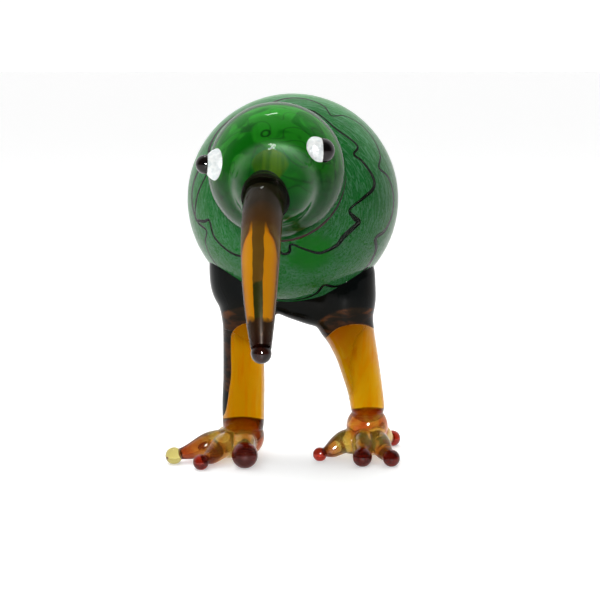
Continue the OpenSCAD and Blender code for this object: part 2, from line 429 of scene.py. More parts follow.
@dataclass(frozen=True)
class FootGlass(ClearGlass):
    """Foot glass: red-brown at the ankle, amber and olive at the toes' roots.

    Its tint is the ankle's, and its second tint is that of the toes' roots.

    Attributes:
        ankle: The ankle's centre, in bird space.
        reach_mm: Distance from the ankle at which the blend ends.
        wander_mm: How far the blend wanders.
    """

    ankle: tuple[float, float, float] = (0.0, 0.0, 0.0)
    reach_mm: float = 24.0
    wander_mm: float = 7.0

    def tint_socket(self, graph: Graph) -> bpy.types.NodeSocket:
        """Gives the tint, by distance from the ankle.

        Args:
            graph: The material under construction.

        Returns:
            The tint's colour socket.
        """
        centre = Vector(self.ankle) + ROW_SHIFT
        away = graph.add(
            "ShaderNodeVectorMath",
            {0: graph.coords_mm, 1: centre},
            operation="DISTANCE",
        ).outputs["Value"]
        warp = graph.noise(0.3, 1.0, distortion=0.6)
        reach = graph.math("ADD", away, graph.math("MULTIPLY", warp, self.wander_mm))
        along = graph.math("DIVIDE", reach, self.reach_mm)
        return graph.ramp(
            along,
            (
                (0.28, self.tint),
                (0.36, "c86422"),
                (0.42, self.second_tint),
                (0.56, "d8c860"),
                (0.64, "c88430"),
                (0.85, "a84a1c"),
            ),
        )


@dataclass(frozen=True)
class SolidGlass:
    """Glass so dark or dense that nothing shows through it.

    Attributes:
        name: The material's name.
        colour: Hex colour.
        second: Hex colour that it drifts to.
        drift: Features of the drift per millimetre.
        roughness: How matt the surface is.
        bump_scale: Features of the surface's waves per millimetre.
        bump_depth_mm: Depth of those waves.
        shine: Specular level, 0.5 for plain glass.
        glow: Painted light: emission, as a share of its colour, that stands in for light coming
            through it from behind.
    """

    name: str
    colour: str
    second: str
    drift: float = 0.15
    roughness: float = 0.04
    bump_scale: float = 0.15
    bump_depth_mm: float = 0.05
    shine: float = 0.5
    glow: float = 0.0

    def colour_socket(self, graph: Graph) -> bpy.types.NodeSocket:
        """Gives the colour over the piece.

        Args:
            graph: The material under construction.

        Returns:
            The colour's socket.
        """
        share = graph.spread(graph.noise(self.drift, 3.0), 0.35, 0.65)
        return graph.mix(share, self.colour, self.second)

    def material(self) -> bpy.types.Material:
        """Builds the material.

        Returns:
            The finished material.
        """
        graph = Graph(self.name)
        normal = graph.bump(graph.noise(self.bump_scale, 2.0), self.bump_depth_mm)
        colour = self.colour_socket(graph)
        surface = graph.add(
            "ShaderNodeBsdfPrincipled",
            {
                "Base Color": colour,
                # The emission is painted light: a glow that stands in for light coming through the
                # glass from behind.
                "Emission Color": colour,
                "Emission Strength": self.glow,
                "Roughness": self.roughness,
                "IOR": GLASS_IOR,
                "Specular IOR Level": self.shine,
                "Normal": normal,
            },
        ).outputs[0]
        return graph.finish(surface)


@dataclass(frozen=True)
class ThreadedGreen(SolidGlass):
    """The body's core: green glass wound with fine pale threads.

    Attributes:
        centre: The body's centre, in bird space.
        smooth_at: The skull's centre, round which there are no threads.
        bright_at: Middle of the brightest green patch, painted light where light comes through the
            glass.
        shade_from: Height over the centre at which the lower green starts.
        shade_to: Height at which it is full.
        wound_mm: Millimetres of the wound pattern per radian from the beak end.
        patch_share: How strong the purer green patches are.
        bright_share: How strong the bright patch of painted light is.
        bright_bare: How far the bright patch of painted light is free of threads.
    """

    centre: tuple[float, float, float] = (0.0, 0.0, 0.0)
    smooth_at: tuple[float, float, float] = (0.0, 0.0, 0.0)
    bright_at: tuple[float, float, float] = (4.5, -22.5, 58.0)
    shade_from: float = 6.0
    shade_to: float = -16.0
    wound_mm: float = 26.0
    patch_share: float = 0.55
    bright_share: float = 0.9
    bright_bare: float = 0.85

    def colour_socket(self, graph: Graph) -> bpy.types.NodeSocket:
        """Winds threads round the body's length, and curls them.

        Args:
            graph: The material under construction.

        Returns:
            The colour's socket.
        """
        centre = Vector(self.centre) + ROW_SHIFT
        local = graph.add(
            "ShaderNodeVectorMath", {0: graph.coords_mm, 1: centre}, operation="SUBTRACT"
        ).outputs[0]
        parts = graph.add("ShaderNodeSeparateXYZ", {0: local}).outputs
        across = graph.math(
            "SQRT",
            graph.math(
                "ADD", graph.math("MULTIPLY", parts[0], parts[0]),
                graph.math("MULTIPLY", parts[2], parts[2]),
            ),
        )
        polar = graph.math("ARCTAN2", across, graph.math("MULTIPLY", parts[1], -1.0))
        around = graph.math("ARCTAN2", parts[0], parts[2])
        wound = graph.add(
            "ShaderNodeCombineXYZ",
            {
                0: graph.math("MULTIPLY", polar, self.wound_mm),
                1: graph.math("MULTIPLY", graph.math("SINE", around), 3.0),
                2: graph.math("MULTIPLY", graph.math("COSINE", around), 3.0),
            },
        ).outputs[0]
        bands = graph.noise(1.15, 2.0, vector=wound, distortion=0.7)
        threads = graph.ridge(bands, 16.0)
        curls = graph.ridge(graph.noise(0.8, 2.0, distortion=2.4), 8.0)
        low = graph.spread(parts[2], self.shade_from, self.shade_to)
        pale = graph.math(
            "ADD",
            graph.math("MULTIPLY", threads, graph.spread(low, 0.0, 1.0, 0.7, 0.3)),
            graph.math("MULTIPLY", curls, graph.spread(low, 0.0, 1.0, 0.25, 0.75)),
        )
        ground = graph.mix(low, self.colour, self.second)
        patches = graph.spread(graph.noise(0.09, 2.0), 0.4, 0.62)
        ground = graph.mix(graph.math("MULTIPLY", patches, self.patch_share), ground, "0ea828")
        # Painted light: a bright green patch where light comes through the glass, with the threads
        # faded out in it.
        bright = graph.near(self.bright_at, 3.5, 7.0, 2.5)
        ground = graph.mix(graph.math("MULTIPLY", bright, self.bright_share), ground, "06b804")
        hidden = graph.near(self.smooth_at, 13.0, 19.0)
        ground = graph.mix(hidden, ground, "1a8a34")
        bare = graph.math("MAXIMUM", hidden, graph.math("MULTIPLY", bright, self.bright_bare))
        pale = graph.math("MULTIPLY", pale, graph.math("SUBTRACT", 1.0, bare))
        return graph.mix(pale, ground, "8cd8a6")


@dataclass(frozen=True)
class HeadGreen(SolidGlass):
    """The head's core: patchy bright green on top, deep green lower down.

    Attributes:
        top: Height above which it is brightest, in millimetres; the lighter top is painted light from
            above and behind.
        base: Height below which it is deep green, in millimetres.
        root_at: Where the beak's root meets it, and the green shows yellow.
        bubble_at: Where a small bubble lies on it.
        wander_mm: How far the edge between the greens wanders.
        swirl_depth: How dark the swirls are.
        bubble_depth: How dark the bubble's outline is.
    """

    top: float = 80.0
    base: float = 74.0
    root_at: tuple[float, float, float] = (-4.9, -38.5, 79.6)
    bubble_at: tuple[float, float, float] = (-6.1, -34.6, 87.2)
    wander_mm: float = 9.0
    swirl_depth: float = 0.55
    bubble_depth: float = 0.75

    def colour_socket(self, graph: Graph) -> bpy.types.NodeSocket:
        """Blends the greens by height, with patches, swirls, a bubble and the beak's root.

        Args:
            graph: The material under construction.

        Returns:
            The colour's socket.
        """
        height = graph.add("ShaderNodeSeparateXYZ", {0: graph.coords_mm}).outputs[2]
        wobble = graph.math(
            "MULTIPLY", graph.math("SUBTRACT", graph.noise(0.12, 2.0), 0.5), self.wander_mm
        )
        # Painted light: the green is lighter above the base, as if lit through from above and behind.
        share = graph.spread(graph.math("ADD", height, wobble), self.base, self.top)
        patches = graph.spread(graph.noise(0.13, 1.0, distortion=1.2), 0.46, 0.56)
        bright = graph.mix(patches, self.colour, "0c9410")
        ground = graph.mix(share, self.second, bright)
        swirls = graph.ridge(graph.noise(0.09, 1.0, distortion=1.6), 55.0)
        ground = graph.mix(graph.math("MULTIPLY", swirls, self.swirl_depth), ground, "0a4a14")
        streaks = graph.spread(
            graph.noise(1.0, 1.0, vector=graph.squeezed((0.9, 0.9, 0.12))), 0.35, 0.65
        )
        fan = graph.mix(streaks, "64a406", "9ccc14")
        ground = graph.mix(graph.near(self.root_at, 2.2, 2.7, 0.6), ground, fan)
        ring = graph.math(
            "SUBTRACT", graph.near(self.bubble_at, 1.1, 1.3), graph.near(self.bubble_at, 0.6, 0.8)
        )
        return graph.mix(graph.math("MULTIPLY", ring, self.bubble_depth), ground, "08400e")


@dataclass(frozen=True)
class HipGlass(SolidGlass):
    """Black glass that thins to brown over the amber domes, with a few seeds in it.

    Attributes:
        domes: Centre, seen from the front, and radius of each brown dome.
    """

    domes: tuple[tuple[float, float, float], ...] = ((16.4, 28.8, 13.0), (-11.6, 29.4, 12.6))

    def colour_socket(self, graph: Graph) -> bpy.types.NodeSocket:
        """Browns the glass near each dome.

        Args:
            graph: The material under construction.

        Returns:
            The colour's socket.
        """
        parts = graph.add("ShaderNodeSeparateXYZ", {0: graph.coords_mm}).outputs
        streaks = graph.noise(0.35, 3.0, vector=graph.squeezed((0.5, 0.5, 1.8)), distortion=0.6)
        colour = SolidGlass.colour_socket(self, graph)
        for x, z, radius in self.domes:
            flat = graph.add(
                "ShaderNodeCombineXYZ",
                {
                    0: graph.math("SUBTRACT", parts[0], x + ROW_SHIFT.x),
                    2: graph.math("SUBTRACT", parts[2], z),
                },
            ).outputs[0]
            away = graph.add("ShaderNodeVectorMath", {0: flat}, operation="LENGTH").outputs["Value"]
            over = graph.spread(away, radius + 0.3, radius - 0.6)
            rim = graph.spread(away, radius - 2.4, radius - 0.2, 0.45, 1.0)
            brown = graph.mix(graph.spread(streaks, 0.4, 0.62), "22180c", "553016")
            colour = graph.mix(graph.math("MULTIPLY", over, rim), colour, brown)
        seeds = graph.add(
            "ShaderNodeTexVoronoi", {"Vector": graph.coords_mm, "Scale": 0.16}
        ).outputs["Distance"]
        return graph.mix(graph.spread(seeds, 0.045, 0.03), colour, "8a8468")


@dataclass(frozen=True)
class BandedBeak(SolidGlass):
    """The beak's core: amber with an olive stripe down its face, dark at both ends.

    Its colour is the amber's, and its second colour is the olive of the stripe.

    Attributes:
        stripe_aside: How far the stripe lies to the bird's right, in half turns.
    """

    stripe_aside: float = 0.053

    def colour_socket(self, graph: Graph) -> bpy.types.NodeSocket:
        """Reads where it is along and round the rod.

        Args:
            graph: The material under construction.

        Returns:
            The colour's socket.
        """
        along, around = (
            graph.add("ShaderNodeAttribute", attribute_name=name).outputs["Fac"]
            for name in (Solid.ALONG, Solid.AROUND)
        )
        wobble = graph.math("MULTIPLY", graph.math("SUBTRACT", graph.noise(0.25, 2.0), 0.5), 0.07)
        along = graph.math("ADD", along, wobble)
        aside = graph.math("ADD", graph.math("ADD", around, self.stripe_aside), wobble)
        face = graph.math("ABSOLUTE", aside)
        stripe = graph.mix(graph.spread(along, 0.735, 0.75), "7a5a1c", self.second)
        taper = graph.spread(along, 0.44, 0.62, 0.3, 1.0)
        amber = graph.ramp(
            graph.math("DIVIDE", face, taper),
            ((0.36, self.colour), (0.50, "e89410"), (0.60, "6a4416"), (0.9, "7a6430")),
        )
        bands = graph.mix(graph.spread(face, 0.12, 0.15), stripe, amber)
        ends = graph.ramp(
            along, ((0.44, "ffffff"), (0.50, "000000"), (0.872, "000000"), (0.885, "ffffff"))
        )
        shade = graph.ramp(
            along,
            ((0.0, "161714"), (0.3, "2c2416"), (0.47, "5e4018"), (0.85, "3a2a18"), (0.97, "2a120a")),
        )
        return graph.mix(ends, bands, shade)


# ------------------------------------------------------------------- meshes


@dataclass(frozen=True)
class Station:
    """One ring of a loft.

    Attributes:
        centre: The ring's centre, in bird space.
        radius: Its radius in millimetres.
        along: Share of the loft's length, kept on its vertices.
    """

    centre: Vector
    radius: float
    along: float = 0.0


class Solid:
    """One closed mesh under construction, in bird space and millimetres."""

    ALONG = "along"
    AROUND = "around"

    def __init__(self) -> None:
        """Starts an empty mesh, with the two layers that finishes read."""
        self.mesh = bmesh.new()
        self._along = self.mesh.verts.layers.float.new(self.ALONG)
        self._around = self.mesh.verts.layers.float.new(self.AROUND)

    def ball(self, centre: Vector, radius: float, segments: int = 48) -> "Solid":
        """Adds a ball.

        Args:
            centre: Its centre.
            radius: Its radius.
            segments: Divisions round it.

        Returns:
            The same solid.
        """
        bmesh.ops.create_uvsphere(
            self.mesh,
            u_segments=segments,
            v_segments=segments // 2,
            radius=radius,
            matrix=Matrix.Translation(centre),
        )
        return self

    def loft(self, stations: Sequence[Station], sides: int = 32, hint: Vector = X_AXIS) -> "Solid":
        """Bridges rings along a path, and closes both ends with domes.

        Args:
            stations: The rings, in order.
            sides: Divisions round each ring.
            hint: Where the rings' zero angle points, as near as can be.

        Returns:
            The same solid.
        """
        rings = self._domed(stations)
        loops: list[list[bmesh.types.BMEdge]] = []
        for index, ring in enumerate(rings):
            before = rings[max(index - 1, 0)].centre
            after = rings[min(index + 1, len(rings) - 1)].centre
            loops.append(self._hoop(ring, (after - before).normalized(), sides, hint))
        for first, second in zip(loops, loops[1:]):
            bmesh.ops.bridge_loops(self.mesh, edges=first + second)
        for loop in (loops[0], loops[-1]):
            bmesh.ops.contextual_create(self.mesh, geom=loop)
        return self

    def ring(self, stations: Sequence[Station], sides: int = 10) -> "Solid":
        """Bridges rings along a path that closes on itself.

        Args:
            stations: The rings, in order.
            sides: Divisions round each ring.

        Returns:
            The same solid.
        """
        loops = []
        count = len(stations)
        for index, ring in enumerate(stations):
            before = stations[index - 1].centre
            after = stations[(index + 1) % count].centre
            loops.append(self._hoop(ring, (after - before).normalized(), sides, X_AXIS))
        for first, second in zip(loops, loops[1:] + loops[:1]):
            bmesh.ops.bridge_loops(self.mesh, edges=first + second)
        return self

    def lathe(
        self, profile: Sequence[tuple[float, float]], base: Vector, axis: Vector, steps: int = 96
    ) -> "Solid":
        """Spins an outline that starts and ends on its axis.

        Args:
            profile: Radius and distance along the axis, point by point.
            base: Where the axis starts.
            axis: Which way it runs.
            steps: Divisions round it.

        Returns:
            The same solid.
        """
        verts = [self.mesh.verts.new((radius, 0.0, height)) for radius, height in profile]
        edges = [self.mesh.edges.new(pair) for pair in zip(verts, verts[1:])]
        old = set(self.mesh.verts) - set(verts)
        bmesh.ops.spin(
            self.mesh,
            geom=verts + edges,
            cent=(0.0, 0.0, 0.0),
            axis=Z_AXIS,
            angle=FULL_TURN,
            steps=steps,
            use_merge=True,
        )
        made = [v for v in self.mesh.verts if v not in old]
        bmesh.ops.remove_doubles(self.mesh, verts=made, dist=POLE_MERGE)
        made = [v for v in self.mesh.verts if v not in old]
        turn = Z_AXIS.rotation_difference(axis.normalized()).to_matrix().to_4x4()
        bmesh.ops.transform(self.mesh, matrix=Matrix.Translation(base) @ turn, verts=made)
        return self

    def block(self, low: Vector, high: Vector) -> "Solid":
        """Adds a box.

        Args:
            low: Its lowest corner.
            high: Its highest corner.

        Returns:
            The same solid.
        """
        size = high - low
        matrix = Matrix.Translation((low + high) / 2.0) @ Matrix.Diagonal((*size, 1.0))
        bmesh.ops.create_cube(self.mesh, size=1.0, matrix=matrix)
        return self

    def prism(self, outline: Sequence[Vector], sweep: Vector) -> "Solid":
        """Sweeps a flat outline straight along a line.

        Args:
            outline: The outline's corners, in order.
            sweep: How far and which way it goes.

        Returns:
            The same solid.
        """
        verts = [self.mesh.verts.new(point) for point in outline]
        face = self.mesh.faces.new(verts)
        made = bmesh.ops.extrude_face_region(self.mesh, geom=[face])["geom"]
        ends = [item for item in made if isinstance(item, bmesh.types.BMVert)]
        bmesh.ops.translate(self.mesh, vec=sweep, verts=ends)
        return self

    def to_object(self, name: str) -> bpy.types.Object:
        """Moves the mesh to the row frame and gives it an object.

        Args:
            name: The object's name.

        Returns:
            The new object, at the origin.
        """
        bmesh.ops.recalc_face_normals(self.mesh, faces=self.mesh.faces)
        matrix = Matrix.Scale(MM, 4) @ Matrix.Translation(ROW_SHIFT)
        bmesh.ops.transform(self.mesh, matrix=matrix, verts=self.mesh.verts)
        for face in self.mesh.faces:
            face.smooth = True
        data = bpy.data.meshes.new(name)
        self.mesh.to_mesh(data)
        self.mesh.free()
        made = bpy.data.objects.new(name, data)
        bpy.context.scene.collection.objects.link(made)
        return made

    def _hoop(
        self, ring: Station, direction: Vector, sides: int, hint: Vector
    ) -> list[bmesh.types.BMEdge]:
        """Adds one ring of edges, square to a direction.

        Args:
            ring: The ring's centre, radius and share of the way along.
            direction: The way that the ring faces, of length one.
            sides: How many edges it has.
            hint: Roughly where its side points, so that rings line up.

        Returns:
            The ring's edges.
        """
        side = (hint - direction * hint.dot(direction)).normalized()
        over = direction.cross(side)
        frame = Matrix((side, over, direction)).transposed().to_4x4()
        made = bmesh.ops.create_circle(
            self.mesh,
            segments=sides,
            radius=ring.radius,
            matrix=Matrix.Translation(ring.centre) @ frame,
        )["verts"]
        for vert in made:
            offset = vert.co - ring.centre
            vert[self._along] = ring.along
            vert[self._around] = math.atan2(offset.dot(side), offset.dot(over)) / math.pi
        return list({edge for vert in made for edge in vert.link_edges})

    @staticmethod
    def _domed(stations: Sequence[Station], steps: int = 7) -> list[Station]:
        """Adds rings that close both ends of a loft with domes.

        Args:
            stations: The loft's rings.
            steps: How many rings each dome has.

        Returns:
            All the rings, from one dome to the other.
        """

        def dome(end: Station, inner: Station) -> list[Station]:
            """Gives the rings of one dome.

            Args:
                end: The last ring of the loft.
                inner: The ring before it.

            Returns:
                The dome's rings, from the loft outwards.
            """
            outward = (end.centre - inner.centre).normalized()
            angles = [math.pi / 2.0 * step / (steps + 0.12) for step in range(1, steps + 1)]
            return [
                Station(
                    end.centre + outward * end.radius * math.sin(angle),
                    end.radius * math.cos(angle),
                    end.along,
                )
                for angle in angles
            ]

        start = dome(stations[0], stations[1])
        return [*reversed(start), *stations, *dome(stations[-1], stations[-2])]


def bake(piece: bpy.types.Object) -> bpy.types.Object:
    """Replaces a piece's mesh by what its modifiers make of it.

    Args:
        piece: The piece.

    Returns:
        The same piece, without modifiers.
    """
    graph = bpy.context.evaluated_depsgraph_get()
    made = bpy.data.meshes.new_from_object(piece.evaluated_get(graph))
    piece.modifiers.clear()
    piece.data = made
    for face in made.polygons:
        face.use_smooth = True
    return piece


class Cut(Enum):
    """How one solid changes another."""

    JOIN = "UNION"
    KEEP_SHARED = "INTERSECT"
    TAKE_AWAY = "DIFFERENCE"


def combine(piece: bpy.types.Object, other: bpy.types.Object, cut: Cut) -> bpy.types.Object:
    """Joins another solid to a piece, or takes it away, and uses the other up.

    Args:
        piece: The piece that stays.
        other: The solid that goes.
        cut: Which of the two it is.

    Returns:
        The piece.
    """
    modifier = piece.modifiers.new("combine", "BOOLEAN")
    modifier.operation = cut.value
    modifier.solver = "EXACT"
    modifier.object = other
    bake(piece)
    bpy.data.objects.remove(other, do_unlink=True)
    return piece


def copy_of(piece: bpy.types.Object, name: str) -> bpy.types.Object:
    """Copies a piece and its mesh.

    Args:
        piece: The piece.
        name: The copy's name.

    Returns:
        The copy.
    """
    made = bpy.data.objects.new(name, piece.data.copy())
    bpy.context.scene.collection.objects.link(made)
    return made


def melt(piece: bpy.types.Object, grain_mm: float, passes: int) -> bpy.types.Object:
    """Runs a piece's overlapping shapes together, as heat does.

    Args:
        piece: The piece.
        grain_mm: Size of the new mesh's faces.
        passes: How many times the surface is smoothed.

    Returns:
        The piece.
    """
    remesh = piece.modifiers.new("melt", "REMESH")
    remesh.mode = "VOXEL"
    remesh.voxel_size = grain_mm * MM
    remesh.use_smooth_shade = True
    smooth = piece.modifiers.new("soften", "SMOOTH")
    smooth.factor = 0.5
    smooth.iterations = passes
    return bake(piece)


def dress(
    piece: bpy.types.Object, material: bpy.types.Material, slot: str, *nodes: str
) -> bpy.types.Object:
    """Gives a piece its material and its place in the frame, and logs it.

    Args:
        piece: The piece.
        material: Its material.
        slot: The record's material slot; not used.
        *nodes: The CAD nodes that it stands for.

    Returns:
        The piece.
    """
    piece.data.materials.clear()
    piece.data.materials.append(material)
    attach(piece, ROOT_BODY)
    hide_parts(*nodes)
    LOG.info("%s: %d faces, for %s", piece.name, len(piece.data.polygons), ", ".join(nodes))
    return piece


def bezier(points: Sequence[Vector], t: float) -> Vector:
    """Gives a point on a cubic curve.

    Args:
        points: The curve's four control points.
        t: Share of the way along.

    Returns:
        The point.
    """
    u = 1.0 - t
    return (
        points[0] * u**3
        + points[1] * (3.0 * u * u * t)
        + points[2] * (3.0 * u * t * t)
        + points[3] * t**3
    )


def glide(values: Sequence[Vector], t: float, closed: bool = False) -> Vector:
    """Gives a point on a smooth curve through all the values.

    Args:
        values: The points that it goes through, evenly spaced in t.
        t: Share of the way along.
        closed: Whether the last point leads back to the first.

    Returns:
        The point.
    """
    count = len(values)
    place = t * (count if closed else count - 1)
    index = min(int(place), count - 1 if closed else count - 2)
    u = place - index

    def pick(offset: int) -> Vector:
        """Gives the point so many places on, wrapped round or held at the ends."""
        at = index + offset
        return values[at % count] if closed else values[max(0, min(count - 1, at))]

    p0, p1, p2, p3 = (pick(offset) for offset in (-1, 0, 1, 2))
    return (
        p1 * 2.0
        + (p2 - p0) * u
        + (p0 * 2.0 - p1 * 5.0 + p2 * 4.0 - p3) * u * u
        + (p1 * 3.0 - p0 - p2 * 3.0 + p3) * u**3
    ) / 2.0


# --------------------------------------------------------------- assemblies


@dataclass(frozen=True)
class BodyShape:
    """Sizes of the body, as in the CAD.

    Attributes:
        centre: Centre of the widest section.
        radius: Radius of the clear skin in front.
        tail: Length of the clear skin behind.
        skin: Thickness of the clear skin.
        droop: How far the tail droops, in degrees.
        steps: Divisions of the outline.
    """

    centre: Vector = Vector((0.0, 0.0, 69.0))
    radius: float = 28.2
    tail: float = 39.0
    skin: float = 2.4
    droop: float = 6.0
    steps: int = 64

    @property
    def axis(self) -> Vector:
        """The way the tail points."""
        return Matrix.Rotation(-math.radians(self.droop), 3, "X") @ Vector((0.0, 1.0, 0.0))

    def outline(self, inset: float) -> list[tuple[float, float]]:
        """Gives the outline to spin: a ball in front, a spheroid behind.

        Args:
            inset: How far inside the clear skin's outside it lies.

        Returns:
            Radius and distance along the axis, point by point.
        """
        radius, tail = self.radius - inset, self.tail - inset
        points = []
        for step in range(self.steps + 1):
            angle = math.pi * step / self.steps
            reach = radius if angle < math.pi / 2.0 else tail
            points.append((radius * math.sin(angle), -reach * math.cos(angle)))
        return points

    def on_core(self, polar: float, around: float, sink: float) -> Vector:
        """Gives a point on the core's skin.

        Args:
            polar: Angle from the beak end, in degrees.
            around: Angle from straight down towards the bird's left, in degrees.
            sink: How far under the skin.

        Returns:
            The point, in bird space.
        """
        a, b = self.radius - self.skin, self.tail - self.skin
        theta, phi = math.radians(polar), math.radians(around)
        if polar > 90.0:
            a = 1.0 / math.sqrt((math.sin(theta) / a) ** 2 + (math.cos(theta) / b) ** 2)
        local = Vector(
            (
                math.sin(theta) * math.sin(phi),
                -math.cos(theta),
                -math.sin(theta) * math.cos(phi),
            )
        ) * (a - sink)
        return self.centre + Matrix.Rotation(-math.radians(self.droop), 3, "X") @ local


@dataclass(frozen=True)
class HeadShape:
    """Sizes of the head, as in the CAD.

    Attributes:
        centre: The skull's centre.
        radius: Its radius.
        snout_radius: Radius of the snout.
        snout_reach: From the skull's centre to the snout's.
        turn: Nod, tilt and turn, in degrees.
        fillet: How soft the bend between skull and snout is.
        core_radius: Radius of the green gather inside.
    """

    centre: Vector = Vector((-3.9, -28.0, 79.0))
    radius: float = 17.4
    snout_radius: float = 9.5
    snout_reach: float = 14.5
    turn: tuple[float, float, float] = (8.0, -8.0, -3.0)
    fillet: float = 1.6
    core_radius: float = 11.1

    @property
    def axis(self) -> Vector:
        """The way the snout points.

        Returns:
            A direction of length one.
        """
        nod, tilt, turn = (math.radians(a) for a in self.turn)
        spin = (
            Matrix.Rotation(turn, 3, "Z") @ Matrix.Rotation(tilt, 3, "Y")
            @ Matrix.Rotation(nod, 3, "X")
        )
        return spin @ Vector((0.0, -1.0, 0.0))

    def outline(self, steps: int = 120) -> list[tuple[float, float]]:
        """Gives the outline of skull and snout, softly joined.

        Args:
            steps: Divisions of the outline.

        Returns:
            Radius and distance along the snout's axis, point by point.
        """
        points = []
        for step in range(steps + 1):
            angle = math.pi * (1.0 - step / steps)
            inside = self.snout_radius**2 - (self.snout_reach * math.sin(angle)) ** 2
            reach = self.radius
            if inside > 0.0 and angle < math.pi / 2.0:
                snout = self.snout_reach * math.cos(angle) + math.sqrt(inside)
                swell = math.exp((snout - self.radius) / self.fillet)
                reach = self.radius + self.fillet * math.log1p(swell)
            points.append((reach * math.sin(angle), reach * math.cos(angle)))
        points[0] = (0.0, points[0][1])
        points[-1] = (0.0, points[-1][1])
        return points


class Casing:
    """The clear glass round body, head and snout: one skin, fused at the neck."""

    def __init__(self, body: BodyShape, head: HeadShape) -> None:
        """Keeps the shapes of the body and the head."""
        self.body = body
        self.head = head

    def build(self) -> None:
        """Builds and dresses the clear skin."""
        body = Solid().lathe(self.body.outline(0.0), self.body.centre, self.body.axis)
        head = Solid().lathe(self.head.outline(), self.head.centre, self.head.axis)
        piece = combine(body.to_object("clear_skin"), head.to_object("skull"), Cut.JOIN)
        glass = ClearGlass(
            "clear glass", "f2f9f3", "e6f3e9", "c4e2cc", 60.0, wave=0.05, wave_depth_mm=0.02,
            rim=0.62,
        )
        dress(piece, glass.material(), "clear_green", "body_casing", "head_casing", "snout")


class Body:
    """The body's green core, and the threads laid into it."""

    FRONT = (
        (53.4, 129.8, 0.3), (46.6, 126.2, 0.3), (49.4, 118.0, 0.35), (53.0, 104.7, 0.45),
        (51.1, 97.5, 0.5), (42.6, 90.9, 0.4), (33.8, 79.8, 0.3), (37.5, 73.7, 0.6),
        (41.9, 71.0, 0.7), (40.5, 66.2, 0.65), (37.4, 54.5, 0.7), (37.7, 44.8, 0.55),
        (36.5, 34.8, 0.45), (34.9, 25.8, 0.4), (29.4, 13.3, 0.3), (25.6, -1.8, 0.3),
        (30.4, -3.6, 0.4), (32.1, -10.3, 0.35), (30.0, -22.0, 0.3), (40.0, -34.0, 0.3),
        (50.0, -46.0, 0.35), (56.3, -63.2, 0.35), (55.5, -75.3, 0.35), (60.2, -76.0, 0.4),
        (66.3, -77.0, 0.4), (71.2, -79.3, 0.35), (66.0, -92.0, 0.35), (58.0, -112.0, 0.3),
        (66.0, -132.0, 0.3), (58.0, -150.0, 0.3), (52.0, -170.0, 0.3), (60.0, -190.0, 0.3),
        (52.0, -212.0, 0.3),
    )

    SCALLOPS = 8
    SCALLOP_STEPS = 8
    SCALLOP_BLUNT = 0.7
    WIDTH = 0.38
    WIDTH_SWING = 0.2

    def __init__(self, shape: BodyShape) -> None:
        """Keeps the body's shape."""
        self.shape = shape

    def build(self) -> None:
        """Builds and dresses the core and its threads."""
        core = Solid().lathe(self.shape.outline(self.shape.skin), self.shape.centre, self.shape.axis)
        # The body core's glow is painted light, standing in for light that comes through the green
        # glass.
        green = ThreadedGreen(
            "threaded green glass", "1aa240", "0eb62c", roughness=0.45, shine=0.1, glow=0.14,
            bump_depth_mm=0.03, centre=tuple(self.shape.centre), smooth_at=tuple(HeadShape.centre),
        )
        dress(core.to_object("green_core"), green.material(), "green_core", "body_core")
        black = SolidGlass("black stringer", "070d08", "16140c", roughness=0.6, shine=0.05).material()
        self._front().build_into(black, "feather_thread_front")
        for index, (polar, swing, phase) in enumerate(((68.0, 13.0, 20.0), (106.0, 16.0, 40.0))):
            name = ("feather_thread_middle", "feather_thread_rear")[index]
            self._scallops(polar, swing, phase).build_into(black, name)

    def _front(self) -> "Thread":
        """The thread nearest the beak, laid from listed points."""
        return Thread(self.shape, self.FRONT)

    def _scallops(self, polar: float, swing: float, phase: float) -> "Thread":
        """A ring of scallops: cusps towards the beak, bellies towards the tail.

        Args:
            polar: Where the ring's middle lies between beak and tail, in degrees.
            swing: How far the bellies lie behind the cusps, in degrees.
            phase: How far the ring is turned round the body, in degrees.

        Returns:
            The thread.
        """
        laid = []
        count = self.SCALLOPS * self.SCALLOP_STEPS
        for step in range(count):
            turn = 360.0 * step / count
            belly = abs(math.sin(math.pi * step / self.SCALLOP_STEPS)) ** self.SCALLOP_BLUNT
            width = self.WIDTH + self.WIDTH_SWING * math.sin(math.radians(turn * 2.0 + phase))
            laid.append((polar + swing * (belly - 0.5), turn + phase, width))
        return Thread(self.shape, tuple(laid))


class Thread:
    """One thread of black glass that runs round the body's core."""

    STEPS = 6

    def __init__(self, shape: BodyShape, laid: Sequence[tuple[float, float, float]]) -> None:
        """Keeps the body's shape and the thread's run over it."""
        self.shape = shape
        self.laid = laid

    def build_into(self, black: bpy.types.Material, node: str) -> None:
        """Builds and dresses the thread.

        Args:
            black: Its material.
            node: The CAD node that it stands for.
        """
        points = [self.shape.on_core(polar, around, 0.0)
                  for polar, around, width in self.laid]
        widths = [Vector((width, 0.0, 0.0)) for _, _, width in self.laid]
        count = len(points) * self.STEPS
        stations = [
            Station(
                glide(points, step / count, closed=True),
                glide(widths, step / count, closed=True).x,
            )
            for step in range(count)
        ]
        dress(Solid().ring(stations).to_object(f"{node}_laid"), black, "black_thread", node)


